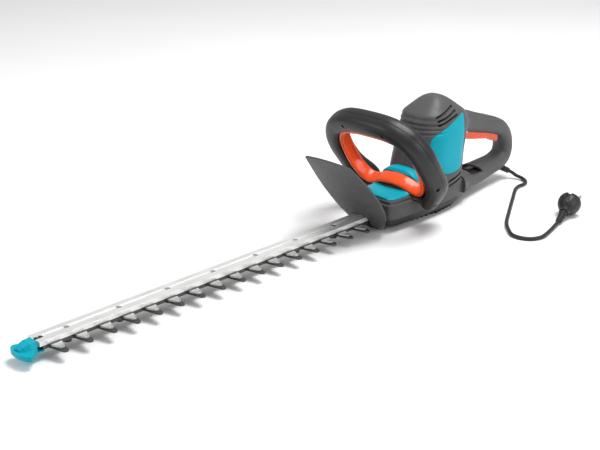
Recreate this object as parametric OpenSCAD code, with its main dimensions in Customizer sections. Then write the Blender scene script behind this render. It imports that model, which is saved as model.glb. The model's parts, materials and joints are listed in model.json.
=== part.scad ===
// Corded electric hedge trimmer: vertical motor, gearbox in the nose, two counter-moving
// toothed blades under an aluminium rail, bail front handle with a switch ring, rear D handle.
// +X runs along the blade to its tip, +Y to the left, +Z up. Z = 0 is the ground under the foot.
// Lengths are in millimetres. Modules work in tool coordinates, where X = 0 is the rearmost
// tooth, and place() moves them to the part's own origin under the middle of the whole tool.

/* [Blades] */
// Distance from one tooth to the next
tooth_pitch = 34; // [30:1:38]
// Teeth of each blade, all on its left edge
tooth_count = 16; // [12:1:16]
// Distance from the middle line to the lower blade's blunt tooth tips
lower_reach = 35.5; // [34:0.5:38]
// Distance from the middle line to the upper blade's ground tooth tips
upper_reach = 29; // [27:0.5:31]
// Thickness of each blade
blade_t = 2.3; // [1.8:0.1:2.3]
// Half width of the toothless bar of a blade
bar_half = 11.5; // [11:0.5:12]
// Height of the lower blade's underside above the ground
blade_z = 12.8; // [12.4:0.2:13]
// Travel of each blade to either side
blade_travel = 5; // [4:0.5:5]

/* [Rail] */
// Width of the guide rail
rail_w = 24; // [23:0.5:25]
// Height of the guide rail
rail_h = 6; // [5:0.5:6]
// Distance between the blade bolts
bolt_step = 75; // [70:1:78]
// Number of blade bolts
bolt_count = 7; // [5:1:7]

/* [Motor and gear] */
// Motor axis, behind the rearmost tooth
motor_x = -162; // [-164:1:-160]
// Teeth of the pinion on the rotor shaft
pinion_teeth = 8; // [8:1:9]
// Teeth of the drive gear
gear_teeth = 70; // [69:1:70]
// Tooth module of the gear pair
gear_module = 1; // [1]
// Radius of the stator stack
stator_r = 28; // [26:1:29]
// Radius of the armature stack
armature_r = 15.5; // [14:0.5:16]
// Radius of the cooling fan
fan_r = 27; // [24:1:28]

/* [Housing] */
// Wall thickness of the plastic shells
wall = 3.2; // [3:0.1:3.4]
// Height of the seam between the housing and the base cover
seam_z = 19; // [18:0.5:20]
// Height of the step between the nose sides and the nose cover
nose_z = 41; // [40:0.5:42]

/* [Front handle] */
// Forward lean of the bail, in degrees
bail_lean = 31; // [30:1:32]
// Half width of the bail, to the middle of its tube
bail_half = 82; // [80:1:84]
// Height of the bail along its lean, to the middle of its tube
bail_top = 147; // [144:1:147]
// Travel of the switch ring
ring_travel = 4; // [3:0.5:4]

/* [Rear handle] */
// Half width of the trigger
trigger_half = 8; // [7:0.5:8.5]

/* [Cord] */
// Diameter of the cord
cord_d = 5.6; // [5.4:0.1:6]
// Diameter of the plug head
plug_d = 34; // [33:0.5:35]

/* [Hidden] */

// The rear end and the tip end set where the middle of the tool is.
rear_x = -378;
tip_x = (tooth_count - 1) * tooth_pitch + 46;
mid_x = (rear_x + tip_x) / 2;

gap = 0.3;
// Underside of the base cover's rim.
base_z = 12.4;
gear_x = motor_x + gear_module * (pinion_teeth + gear_teeth) / 2;
upper_z = blade_z + blade_t + 0.2;
rail_z = upper_z + blade_t + 0.2;
rail_top = rail_z + rail_h;
rail_back = gear_x + 46;
gear_plate_z = rail_top + 0.2;
rail_front = tip_x - 26;
bolt_x0 = 35;

plastic = "#4a4a4c";
dark_plastic = "#38383a";
teal = "#00a9bd";
orange = "#f0602a";
steel = "#a8a8a8";
dark_steel = "#5a5a5c";
aluminium = "#d4d4d2";
copper = "#b8703a";
brass = "#c8a850";
black = "#202022";

// ---- helpers -------------------------------------------------------------------------------

module place() { translate([-mid_x, 0, 0]) children(); }

// Closed ring of points on a superellipse with half axes a and b and exponent n.
function oval(a, b, n, m) = [for (i = [0:m - 1]) let (t = 360 * i / m, c = cos(t), s = sin(t))
    [a * sign(c) * pow(abs(c), 2 / n), b * sign(s) * pow(abs(s), 2 / n)]];

// Solid through a list of rings, each counter-clockwise about the way the list runs; loop joins
// the last ring to the first.
module loft(rings, loop = false) {
    m = len(rings[0]);
    k = len(rings);
    sides = [for (i = [0:k - (loop ? 1 : 2)], j = [0:m - 1])
        let (a = i * m, b = ((i + 1) % k) * m, q = (j + 1) % m) [a + j, b + j, b + q, a + q]];
    caps = loop ? [] : [[for (j = [0:m - 1]) j], [for (j = [m - 1:-1:0]) (k - 1) * m + j]];
    polyhedron([for (r = rings) each r], concat(sides, caps), convexity = 10);
}

// Catmull-Rom curve through the points p, with k steps between neighbours.
function knot(p, i) = p[max(0, min(len(p) - 1, i))];
function blend4(a, b, c, d, t) = 0.5 * ((2 * b) + (c - a) * t + (2 * a - 5 * b + 4 * c - d) * t * t
    + (3 * b - a - 3 * c + d) * t * t * t);
function smooth(p, k) = [for (i = [0:len(p) - 2], j = [0:k - 1])
    blend4(knot(p, i - 1), p[i], p[i + 1], knot(p, i + 2), j / k), p[len(p) - 1]];
function unit(v) = v / norm(v);

// ---- housing shapes ------------------------------------------------------------------------

// Half width of the gearbox and motor base in plan, along X.
plan = [[-232, 22], [-226, 29], [-214, 35], [-198, 39.5], [-175, 42.5], [-150, 43.5], [-120, 43.5],
    [-90, 42.5], [-62, 41], [-52, 39.5], [-45, 36], [-42, 31]];
module plan_shape(g) {
    polygon([for (p = plan) [p[0] + (p[0] < -200 ? -g : g) * (p[0] > -60 || p[0] < -225 ? 1 : 0),
        p[1] + g],
        for (i = [len(plan) - 1:-1:0]) let (p = plan[i])
        [p[0] + (p[0] < -200 ? -g : g) * (p[0] > -60 || p[0] < -225 ? 1 : 0), -p[1] - g]]);
}

// Motor tower: height, front X, rear X, half width.
tower = [[38, -108, -224, 43.5], [55, -111, -224, 44], [75, -116, -225, 43.8], [95, -121, -228, 43],
    [115, -126, -234, 42], [130, -130, -238, 40.5], [142, -134.5, -231, 38.6], [147.5, -136, -226, 37.8],
    [150.5, -138.5, -222, 36], [154, -143.5, -217, 32.5], [158.5, -150, -211, 28],
    [163, -157, -204.5, 23.5], [167.5, -164, -197.5, 18], [170.8, -170, -190.5, 12],
    [172.4, -175, -184, 6]];
tower_n = 2.9;
tower_m = 32;
function tower_ring(r, g) = [for (q = oval((r[1] - r[2]) / 2 + g, r[3] + g, tower_n, tower_m))
    [(r[1] + r[2]) / 2 + q[0], q[1], r[0] + (r[0] > 100 ? g : -g)]];
module tower_solid(g) { loft([for (r = tower) if (r[3] + g > 1) tower_ring(r, g)]); }

// Rear D handle: X, Z, half thickness and half width along its middle line.
loop_line = [[-214, 118, 19, 24], [-250, 117, 17.5, 19], [-285, 107.5, 15.6, 17.5],
    [-320, 97.5, 14.4, 17], [-345, 87.5, 13.6, 16.5], [-359, 74, 12.8, 16], [-365.5, 57, 12.5, 15.5],
    [-362, 40, 12.5, 16], [-346, 30.5, 12.5, 17.5], [-320, 27, 12.8, 19.5], [-285, 24, 13.8, 23],
    [-250, 24.5, 15.5, 28.5], [-214, 27, 17, 34]];
loop_path = smooth(loop_line, 3);
function loop_ring(i, g) = let (p = loop_path[i], a = loop_path[max(0, i - 1)],
    b = loop_path[min(len(loop_path) - 1, i + 1)], d = unit([b[0] - a[0], b[1] - a[1]]))
    [for (q = oval(p[2] + g, p[3] + g, 2.7, 20)) [p[0] + d[1] * q[0], q[1], p[1] - d[0] * q[0]]];
module loop_solid(g) { loft([for (i = [0:len(loop_path) - 1]) loop_ring(i, g)]); }

module housing_outer(g) {
    tower_solid(g);
    loop_solid(g);
    translate([0, 0, seam_z]) linear_extrude(nose_z - seam_z + g) plan_shape(g);
    translate([0, 0, nose_z - 1]) linear_extrude(5 + g) nose_top(g - 4);
}
module nose_top(g) {
    intersection() {
        plan_shape(g);
        translate([-114, -60]) square([114, 120]);
    }
}

// Flat-sided outline of the coloured side panel, as seen from the side.
module panel_outline(g) {
    offset(delta = g) offset(r = 4, $fn = 24) offset(delta = -4)
        polygon([[-206, 148], [-206, 72], [-199, 64], [-188, 61], [-163, 61], [-152, 69],
            [-136, 91], [-133, 103], [-137, 117], [-146, 124]]);
}
module panel_prism(g, side) {
    rotate([90, 0, 0]) translate([0, 0, side > 0 ? -60 : 30]) linear_extrude(30) panel_outline(g);
}

// Three slanted cooling slots at the top of the tower and two long ones at its foot.
module vents() {
    for (i = [0:2])
        translate([-170 + i, 0, 141 + i * 5.8]) rotate([0, 15, 0]) cube([42, 120, 3.4], center = true);
    for (i = [0, 1])
        translate([-186 - 2 * i, 0, 51.4 - i * 7.2]) rotate([0, 10, 0]) cube([38, 120, 3.6], center = true);
}

// Saddle over the nose: it rises to the rear and stands on the nose's upper step.
saddle_z = nose_z + 4.2;
saddle = [[-122, 31, 36], [-106, 29.5, 35.6], [-101, 22.5, 35.4], [-86, 7, 35], [-76, 5.8, 34.6],
    [-68, 5.4, 34], [-61, 5, 33], [-55, 4.2, 31], [-50, 3, 27]];
function saddle_ring(r, g) = [for (i = [0:24]) let (t = 180 * i / 24, c = cos(t), s = sin(t))
    [r[0] + (r[0] > -51 ? g : 0), (r[2] + g) * sign(c) * pow(abs(c), 0.72),
        saddle_z + (r[1] + g) * pow(s, 0.78)]];
module saddle_solid(g) { loft([for (r = saddle) saddle_ring(r, g)]); }

// Inner ribs that hold the stator and the upper bearing.
module motor_ribs() {
    intersection() {
        tower_solid(-wall + 0.4);
        for (z = [80, 102, 143])
            translate([-300, -60, z]) cube([200, 120, 3]);
    }
}
module motor_space() {
    translate([motor_x, 0, 60]) cylinder(h = 80, r = stator_r + gap, $fn = 72);
    translate([motor_x, 0, 130]) cylinder(h = 19, r = 9.5 + 0.05, $fn = 48);
}

// Screw posts join the two housing halves.
post_spots = [[-214, 92], [-214, 60], [-351, 77], [-312, 27], [-244, 22], [-151, 157]];
module posts(r) {
    for (p = post_spots)
        translate([p[0], 0, p[1]]) rotate([90, 0, 0]) cylinder(h = 90, r = r, center = true, $fn = 32);
}

module housing_full() {
    difference() {
        union() {
            difference() {
                housing_outer(0);
                tower_solid(-wall);
                loop_solid(-wall);
                translate([0, 0, seam_z - 1]) linear_extrude(nose_z - seam_z + 1 - wall) plan_shape(-wall);
                // The base cover goes under the front of the lower frame.
                translate([-232.6, -60, seam_z - 30]) cube([200, 120, 30]);
            }
            difference() {
                motor_ribs();
                motor_space();
            }
            intersection() {
                posts(4.2);
                housing_outer(-wall / 2);
            }
            // Bosses over the base screws carry the gear plate.
            for (p = base_spots) {
                translate([p[0], p[1], 15.2]) cylinder(h = gear_plate_z - 0.1 - 15.2, r = 5, $fn = 40);
                translate([p[0] - 3, min(p[1], 7 * sign(p[1]) + p[1]), seam_z])
                    cube([6, 7, gear_plate_z - 0.1 - seam_z]);
            }
        }
        // The nose is open to the cover above it and, over the gearbox, to the motor.
        translate([0, 0, nose_z - wall - 1]) linear_extrude(wall + 2) intersection() {
            plan_shape(-wall - 3);
            translate([-205, -60]) square([171, 120]);
        }
        translate([0, 0, nose_z - 1]) linear_extrude(10) intersection() {
            plan_shape(-wall - 4.6);
            translate([-104, -60]) square([71, 120]);
        }
        base_holes(1.6);
        guard_holes();
        bail_holes();
        translate([pin_x, 0, pin_z]) rotate([90, 0, 0])
            cylinder(h = pin_length + 0.4, r = 2.05, center = true, $fn = 40);
        posts(1.6);
        vents();
        // Pockets for the side panels, the grip inlay and the trigger.
        for (s = [-1, 1])
            difference() {
                panel_prism(0.3, s);
                tower_solid(-1.9);
            }
        difference() {
            inlay_prism(0.3);
            loop_solid(-1.6);
        }
        trigger_slot();
        hook_pocket();
        // Mouth for the rail and the blades.
        translate([-70, -16, seam_z - 2]) cube([40, 32, rail_top + 0.4 - seam_z + 2]);
        // Way out for the lead.
        relief_place() translate([0, 0, -1]) cylinder(h = 40, r = 5.6 + gap, $fn = 40);
    }
}
module left_half() { translate([-500, 0, -10]) cube([600, 100, 250]); }
module right_half() { translate([-500, -100, -10]) cube([600, 100, 250]); }

module left_housing() {
    place() color(plastic) intersection() {
        housing_full();
        left_half();
    }
}
module right_housing() {
    place() color(plastic) intersection() {
        housing_full();
        right_half();
    }
}

module side_panel(s) {
    intersection() {
        difference() {
            tower_solid(0);
            tower_solid(-1.8);
        }
        panel_prism(0, s);
    }
}
module left_side_panel() { place() color(teal) side_panel(1); }
module right_side_panel() { place() color(teal) side_panel(-1); }

// The bail's bridge parts the saddle into the lid over the gears and the band round the tower.
bridge_x = -96;
module saddle_shell() {
    difference() {
        saddle_solid(0);
        saddle_solid(-2.4);
        tower_solid(gap);
        bail_bridge(gap);
        ring_room();
    }
}
module nose_cover() {
    place() color(teal) intersection() {
        saddle_shell();
        translate([bridge_x, -60, nose_z]) cube([60, 120, 40]);
    }
}
module neck_band() {
    place() color(teal) intersection() {
        saddle_shell();
        translate([bridge_x - 40, -60, nose_z]) cube([40, 120, 60]);
    }
}

module base_cover() {
    place() color(dark_plastic) difference() {
        union() {
            translate([0, 0, base_z]) linear_extrude(seam_z - 0.1 - base_z) plan_shape(-0.4);
            translate([0, 0, 6.4]) linear_extrude(base_z - 6.4) intersection() {
                plan_shape(-7);
                translate([-222, -60]) square([176, 120]);
            }
            // The ribbed foot carries the motor; a narrow runner carries the nose.
            for (i = [0:12])
                translate([-228 + i * 9.8, 0, 0]) base_rib(33 - abs(i - 7) * 1.2 - max(0, 3 - i) * 2.4);
            translate([-228, -20, 2.4]) cube([122, 40, 5]);
            translate([-112, -13, 0]) cube([68, 26, 7.5]);
        }
        translate([0, 0, 9.4]) linear_extrude(20) plan_shape(-10.2);
        translate([0, 0, base_z + 2.6]) linear_extrude(20) plan_shape(-3.4);
        translate([-60, -16, blade_z - 1.2]) cube([30, 32, 20]);
        base_holes(1.6);
        // Room for the bosses of the housing.
        for (p = base_spots)
            translate([p[0], p[1], base_z + 2.6]) cylinder(h = 10, r = 5.15, $fn = 40);
    }
}
module base_rib(w) { translate([0, -w, 0]) cube([5.4, 2 * w, 7]); }
base_spots = [[-70, 34], [-70, -34], [-146, 34], [-146, -34]];
module base_holes(r) {
    for (p = base_spots) {
        translate([p[0], p[1], 4]) cylinder(h = 19, r = r, $fn = 24);
        translate([p[0], p[1], -1]) cylinder(h = 9.9, r = 3.5, $fn = 32);
    }
}
module base_screws() {
    place() color(dark_steel) for (p = base_spots)
        translate([p[0], p[1], 8.7]) {
            translate([0, 0, -1.6]) cylinder(h = 1.6, r = 3.2, $fn = 32);
            cylinder(h = 13, r = 1.5, $fn = 24);
        }
}

// ---- rear handle ---------------------------------------------------------------------------

module inlay_prism(g) {
    intersection() {
        translate([0, 0, 70]) linear_extrude(80) offset(r = 8 + g, $fn = 32) polygon([[-262, -2.5],
            [-346, -1], [-346, 1], [-262, 2.5]]);
        translate([0, 20, 0]) rotate([90, 0, 0]) linear_extrude(40)
            polygon([[-240, 118], [-290, 108], [-362, 86], [-362, 160], [-240, 160]]);
    }
}
module grip_inlay() {
    place() color(black) intersection() {
        difference() {
            loop_solid(0);
            loop_solid(-1.3);
        }
        inlay_prism(0);
    }
}

// The trigger hangs under the grip on a pin at its front end.
pin_x = -246;
pin_z = 103;
pin_length = 31;
trigger_side = [[-238, 98], [-240, 108], [-252, 109], [-300, 97], [-338, 87], [-341, 80],
    [-338, 68], [-332, 68], [-325, 75], [-300, 79], [-270, 85], [-244, 91]];
module trigger_slot() {
    translate([0, trigger_half + 0.5, 0]) rotate([90, 0, 0]) linear_extrude(2 * trigger_half + 1)
        polygon([[-234, 84], [-234, 114], [-262, 116], [-343, 98], [-345, 60], [-300, 60], [-250, 70]]);
}
module rear_trigger() {
    place() color(orange) difference() {
        translate([0, trigger_half, 0]) rotate([90, 0, 0]) linear_extrude(2 * trigger_half)
            polygon(trigger_side);
        translate([pin_x, 0, pin_z]) rotate([90, 0, 0])
            cylinder(h = 40, r = 2.05, center = true, $fn = 40);
        translate([-310, 0, 82]) cylinder(h = 30, r = 4.4, $fn = 40);
    }
}
module trigger_pin() {
    place() color(steel) translate([pin_x, 0, pin_z]) rotate([90, 0, 0])
        cylinder(h = pin_length, r = 2, center = true, $fn = 40);
}

// Coil spring between the trigger and the switch above it.
module trigger_spring() {
    turns = 5;
    place() color(steel) translate([-310, 0, 82.6]) loft([for (i = [0:60])
        let (t = i / 60, a = 360 * turns * t, c = [3.2 * cos(a), 3.2 * sin(a), 0.5 + 17.5 * t])
        [for (j = [0:7]) let (b = 45 * j, o = 0.45 * cos(b))
            c + [o * cos(a), o * sin(a), -0.45 * sin(b)]]]);
}
module rear_microswitch() {
    place() color(black) {
        translate([-314, -5, 101.9]) cube([19, 10, 7.3]);
        translate([-301, 0, 101.3]) cylinder(h = 0.8, r = 1.2, $fn = 24);
    }
}

// Recess with a hook for an extension cable in the lower frame.
module hook_pocket() { translate([-286, -16, 31]) cube([34, 40, 20]); }
module cable_hook() {
    place() color(dark_plastic) {
        intersection() {
            loop_solid(-wall - 0.1);
            translate([-288, -40, 24]) cube([38, 80, 7]);
        }
        translate([-269, 5, 30]) cylinder(h = 7, r = 3.4, $fn = 32);
        translate([-277, 1, 36]) cube([16, 8, 2.2]);
    }
}

module housing_screws() {
    place() color(dark_steel) for (p = post_spots)
        translate([p[0], 0, p[1]]) rotate([90, 0, 0]) cylinder(h = 20, r = 1.5, center = true, $fn = 24);
}

// ---- front handle --------------------------------------------------------------------------

// The bail lies in a leaning plane: y across, s up the lean, d out of the plane to the front.
bail_foot = [-112, 31];
function bail_at(y, s, d) = [bail_foot[0] + s * sin(bail_lean) + d * cos(bail_lean), y,
    bail_foot[1] + s * cos(bail_lean) - d * sin(bail_lean)];
module in_bail() {
    translate([bail_foot[0], 0, bail_foot[1]]) rotate([0, bail_lean, 0]) children();
}
// Middle line of the bail from the left foot over the top to the right foot: y, s, half
// thickness in the plane, half depth across it and how far it stands back.
bail_left = [[55.5, 2, 8.5, 16, 3], [59, 8, 11.5, 21, 4.5], [66, 18, 12.3, 21.5, 5.5],
    [74.5, 31, 12.5, 19, 5.5], [79.5, 46, 12.8, 17, 4.5], [bail_half - 0.5, 64, 13.2, 16.5, 2.5],
    [bail_half, 84, 14, 16.5, 0.5], [79, 106, 14, 17, 0], [68, 128, 14, 17, 0], [46, 142, 14, 17, 0],
    [22, bail_top, 14, 17, 0]];
bail_line = concat(bail_left, [for (i = [len(bail_left) - 1:-1:0]) let (p = bail_left[i])
    [-p[0], p[1], p[2], p[3], p[4]]]);
bail_path = smooth(bail_line, 2);
function bail_dir(i) = let (a = bail_path[max(0, i - 1)],
    b = bail_path[min(len(bail_path) - 1, i + 1)]) unit([b[0] - a[0], b[1] - a[1]]);
// Across the path: q[0] runs outwards in the plane, q[1] to the rear.
function bail_ring(i, ring) = let (p = bail_path[i], d = bail_dir(i))
    [for (q = ring) bail_at(p[0] + d[1] * q[0], p[1] - d[0] * q[0], -q[1] - p[4])];
bail_up = [sin(bail_lean), 0, cos(bail_lean)];
// Bail grown by g; its hollow (g below 0) leaves the two feet closed.
module bail_tube(g) {
    last = len(bail_path) - 1;
    loft([for (i = [0:last]) let (p = bail_path[i], lift = (g < 0 && (i == 0 || i == last)) ? -g : 0)
        [for (q = bail_ring(i, oval(p[2] + g, p[3] + g, 2.6, 20))) q + lift * bail_up]]);
}

// Switch ring: closed loop inside the bail whose lower side arches over the nose.
ring_left = [[0, 37], [19, 34.5], [34, 27.5], [47, 25.5], [59, 35.5], [66.5, 58], [68, 83],
    [65, 106], [54, 122], [30, 130]];
ring_line = concat(ring_left, [[0, 131.5]],
    [for (i = [len(ring_left) - 1:-1:1]) [-ring_left[i][0], ring_left[i][1]]]);
ring_knots = concat([ring_line[len(ring_line) - 1]], ring_line, [ring_line[0], ring_line[1]]);
ring_path = [for (i = [1:len(ring_line)], j = [0, 1])
    blend4(ring_knots[i - 1], ring_knots[i], ring_knots[i + 1], ring_knots[i + 2], j / 2)];
function ring_ring(i, a, b) = let (k = len(ring_path), p = ring_path[i],
    d = unit(ring_path[(i + 1) % k] - ring_path[(i + k - 1) % k]))
    [for (q = [[-a, b], [a, b], [a, -b], [-a, -b]])
        bail_at(p[0] + d[1] * q[0], p[1] - d[0] * q[0], q[1])];
module ring_tube(a, b) {
    loft([for (i = [0:len(ring_path) - 1]) ring_ring(i, a, b)], true);
}
module front_switch_ring() { place() color(orange) ring_tube(2.6, 10.5); }

// Room that the ring needs over its travel.
module ring_room() {
    k = len(ring_path);
    translate(ring_travel / 2 * bail_up)
        loft([for (i = [0:k - 1])
            let (d = unit(ring_path[(i + 1) % k] - ring_path[(i + k - 1) % k]))
            ring_ring(i, 3.4 + ring_travel / 2 * abs(d[0]), 11.4)], true);
}

// Dark bridge of the bail under the ring's arch.
bridge_line = [[60, 6], [51, 18], [36, 20], [20, 27], [0, 30], [-20, 27], [-36, 20], [-51, 18],
    [-60, 6]];
bridge_path = smooth(bridge_line, 2);
function bridge_ring(i, g) = let (p = bridge_path[i], a = bridge_path[max(0, i - 1)],
    b = bridge_path[min(len(bridge_path) - 1, i + 1)], d = unit(b - a))
    [for (q = oval(4 + g, 15.5 + g, 3, 16)) bail_at(p[0] + d[1] * q[0], p[1] - d[0] * q[0], -q[1])];
module bail_bridge(g) { loft([for (i = [0:len(bridge_path) - 1]) bridge_ring(i, g)]); }

module bail_full() {
    difference() {
        union() {
            difference() {
                bail_tube(0);
                bail_tube(-2.6);
            }
            difference() {
                bail_bridge(0);
                bail_tube(-2.6);
            }
            intersection() {
                bail_tube(-1);
                leg_screw_lines(4.4, 0, 30);
            }
        }
        ring_room();
        housing_outer(gap);
        bail_holes();
        translate([-300, -150, -50]) cube([400, 300, 52]);
    }
}
// Screws of the legs: X, Z, and |y| of their inner end and of their head.
leg_screw_spots = [[-81.5, 69, 74, 87.5], [-99, 36.5, 52.5, 67.5]];
module leg_screw_lines(r, from, past) {
    for (s = [-1, 1], p = leg_screw_spots) {
        low = from == 0 ? p[2] : p[3] - from;
        translate([p[0], s * low, p[1]]) rotate([-90 * s, 0, 0])
            cylinder(h = p[3] + past - low, r = r, $fn = 28);
    }
}
module bail_holes() {
    for (y = [-36, 36])
        in_bail() translate([0, y, bail_top]) rotate([0, 90, 0])
            cylinder(h = 60, r = 1.6, center = true, $fn = 24);
    leg_screw_lines(1.6, 0, 18);
    leg_screw_lines(2.9, 2, 18);
}
// Everything in front of the seam, which follows the legs where they stand back: d and s.
seam = [[-3.7, -60], [-3.7, 5.3], [-6.2, 21.7], [-6.2, 36.1], [-4.5, 49.3], [-2.5, 68.7], [-0.2, 88.7],
    [0.47, 108.3], [0.47, 200]];
module in_front_of_seam() {
    in_bail() rotate([90, 0, 0]) linear_extrude(300, center = true)
        polygon(concat(seam, [[80, 200], [80, -60]]));
}
module bail_front_shell() {
    place() color(dark_plastic) intersection() {
        bail_full();
        in_front_of_seam();
    }
}
module bail_rear_shell() {
    place() color(dark_plastic) difference() {
        bail_full();
        in_front_of_seam();
    }
}
module bail_screws() {
    place() color(dark_steel) {
        for (y = [-36, 36])
            in_bail() translate([0, y, bail_top]) rotate([0, 90, 0])
                cylinder(h = 32, r = 1.5, center = true, $fn = 24);
        leg_screw_lines(1.5, 0, -0.4);
        leg_screw_lines(2.6, 1.9, -0.3);
    }
}
module front_microswitch() {
    place() color(black) in_bail() {
        translate([-3, -10, bail_top - 4]) cube([6, 20, 9]);
        translate([-1, 4, bail_top - 6]) cube([2, 2, 2]);
    }
}

// ---- hand guard ----------------------------------------------------------------------------

guard_lean = 37;
guard_foot = [-34, 8];
// Height along the lean, half width, and how far the edges stand back.
guard_rows = [[0, 30, 3], [6, 35, 4], [16, 42, 5], [32, 48, 6], [60, 52, 6], [90, 50.5, 5], [118, 45.5, 3],
    [138, 41, 1]];
function guard_point(u, r, d) = let (y = u * r[1], back = -r[2] * u * u,
    crown = r[0] > 130 ? 5 * (1 - u * u) : 0,
    s = r[0] + crown) [guard_foot[0] + s * sin(guard_lean) + (d + back) * cos(guard_lean), y,
    guard_foot[1] + s * cos(guard_lean) - (d + back) * sin(guard_lean)];
module hand_guard() {
    place() color(plastic) difference() {
        union() {
            loft([for (r = guard_rows) concat([for (i = [-8:8]) guard_point(i / 8, r, 1.6)],
                [for (i = [8:-1:-8]) guard_point(i / 8, r, -1.6)])]);
            // Flange against the front of the nose.
            translate([-41.6, -30, 8]) cube([10, 60, 26]);
            for (y = [-17, 14.4])
                translate([0, y + 2.6, 0]) rotate([90, 0, 0]) linear_extrude(2.6)
                    polygon([[-33, 9], [-33, 33], [-16, 32]]);
        }
        translate([-60, -rail_w / 2 - 1, 0]) cube([60, rail_w + 2, rail_top + 1]);
        translate([-60, -60, -10]) cube([60, 120, 16]);
        guard_holes();
    }
}
module guard_holes() {
    for (y = [-24, 24])
        translate([-30, y, 27]) rotate([0, 90, 0]) cylinder(h = 60, r = 1.6, center = true, $fn = 24);
}
module guard_screws() {
    place() color(dark_steel) for (y = [-24, 24])
        translate([-44, y, 27]) rotate([0, 90, 0]) cylinder(h = 10, r = 1.5, $fn = 24);
}

// ---- blades and rail -----------------------------------------------------------------------

function bolt_xs() = [for (i = [0:bolt_count - 1]) bolt_x0 + i * bolt_step];

module guide_rail() {
    place() color(aluminium) difference() {
        translate([rail_back, -rail_w / 2, rail_z]) cube([rail_front - rail_back, rail_w, rail_h]);
        translate([rail_back - 1, -3.4, rail_top - 1.2]) cube([rail_front - rail_back + 2, 6.8, 3]);
        for (x = bolt_xs())
            translate([x, 0, rail_z - 1]) cylinder(h = rail_h + 2, r = 2.6, $fn = 32);
        for (x = rail_screw_xs)
            translate([x, 0, rail_z - 1]) cylinder(h = rail_h + 2, r = 2.1, $fn = 32);
        // Pocket for the tongue of the tip cap.
        translate([rail_front - 12.4, -7.3, rail_z + 1]) cube([20, 14.6, 2.7]);
        tip_holes();
    }
}
rail_screw_xs = [-60, -72];
module rail_screws() {
    place() color(dark_steel) for (x = rail_screw_xs)
        translate([x, 0, rail_z]) {
            cylinder(h = rail_h + 4.6, r = 2, $fn = 32);
            translate([0, 0, rail_h + 4.3]) cylinder(h = 2.4, r = 3.6, $fn = 6);
        }
}

// Blade bar with teeth on its left edge, a slot at each bolt and a drive window at its rear end.
window_half_x = 21;
window_half_y = 16.5;
module blade(reach, root, tip) {
    linear_extrude(blade_t) difference() {
        union() {
            translate([gear_x + 20, -bar_half]) square([tip_x - 30 - gear_x - 20, 2 * bar_half]);
            translate([gear_x - window_half_x - 4, -window_half_y - 4.5])
                square([2 * window_half_x + 8, 2 * window_half_y + 9]);
            for (i = [0:tooth_count - 1])
                translate([i * tooth_pitch, 0]) {
                    polygon([[-root, bar_half - 0.5], [-tip, reach - tip], [tip, reach - tip],
                        [root, bar_half - 0.5]]);
                    translate([0, reach - tip]) circle(r = tip, $fn = 24);
                }
        }
        translate([gear_x - window_half_x, -window_half_y]) square([2 * window_half_x, 2 * window_half_y]);
        for (x = bolt_xs()) {
            translate([x - blade_travel, -2.9]) square([2 * blade_travel, 5.8]);
            for (s = [-1, 1])
                translate([x + s * blade_travel, 0]) circle(r = 2.9, $fn = 32);
        }
    }
}
module upper_blade() { place() color(steel) translate([0, 0, upper_z]) blade(upper_reach, 9, 3); }
module lower_blade() { place() color(dark_steel) translate([0, 0, blade_z]) blade(lower_reach, 8, 4); }

module blade_bolts() {
    place() color(dark_steel) for (x = bolt_xs())
        translate([x, 0, 5]) {
            cylinder(h = rail_top - 1.2 - 5, r = 2.5, $fn = 32);
            translate([0, 0, rail_top - 1.2 - 5]) cylinder(h = 1, r = 3.2, $fn = 32);
        }
}
module blade_nuts() {
    place() color(black) for (x = bolt_xs())
        translate([x, 0, 0]) difference() {
            union() {
                translate([0, 0, 5.8]) cylinder(h = 5.2, r = 5.2, $fn = 6);
                translate([0, 0, 11]) cylinder(h = 1.3, r = 6.4, $fn = 32);
            }
            translate([0, 0, 5]) cylinder(h = 10, r = 2.55, $fn = 32);
        }
}

// Outline of the tip cap's flange: its left wing covers the teeth.
tip_plate = [[-32, 11.6], [-22, 12], [-17, 14], [-13, 19], [-9.5, 23.4], [-6.5, 24], [-3.4, 21], [-1, 15],
    [0, 8], [0, 0], [-1, -7], [-3.4, -13], [-7, -16.6], [-11, -17], [-16, -15], [-22, -12.6],
    [-32, -11.6]];
// Hood in front of the rail: X, half width and height at its foot and half width at its top.
tip_hood = [[-25.8, 11.4, 7.6, 7.6], [-16, 11, 7.4, 7.2], [-9, 9, 5.4, 6], [-4, 6, 2.6, 4]];
module tip_cap() {
    place() color(teal) difference() {
        union() {
            translate([tip_x, 0, 10.6]) linear_extrude(5.8) polygon(tip_plate);
            loft([for (h = tip_hood) [for (q = [[-h[1], -0.4], [h[1], -0.4], [h[3], h[2]], [-h[3], h[2]]])
                [tip_x + h[0], q[0], 16 + q[1]]]]);
            translate([rail_front - 12, -7, rail_z + 1.2]) cube([14, 14, 2.3]);
        }
        translate([tip_x - 60, -12.3, blade_z - 0.6]) cube([37, 24.6, rail_z - blade_z + 0.5]);
        tip_holes();
    }
}
module tip_holes() {
    for (x = [-9.5, -3.5])
        translate([rail_front + x, 0, rail_z - 1]) cylinder(h = rail_h + 2, r = 1.6, $fn = 32);
}
module tip_cap_screws() {
    place() color(dark_steel) for (x = [-9.5, -3.5])
        translate([rail_front + x, 0, rail_z + 0.1]) {
            cylinder(h = rail_h - 1.3, r = 1.5, $fn = 24);
            translate([0, 0, rail_h - 1.3]) cylinder(h = 1, r = 2.7, $fn = 32);
        }
}

// ---- motor ---------------------------------------------------------------------------------

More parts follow.
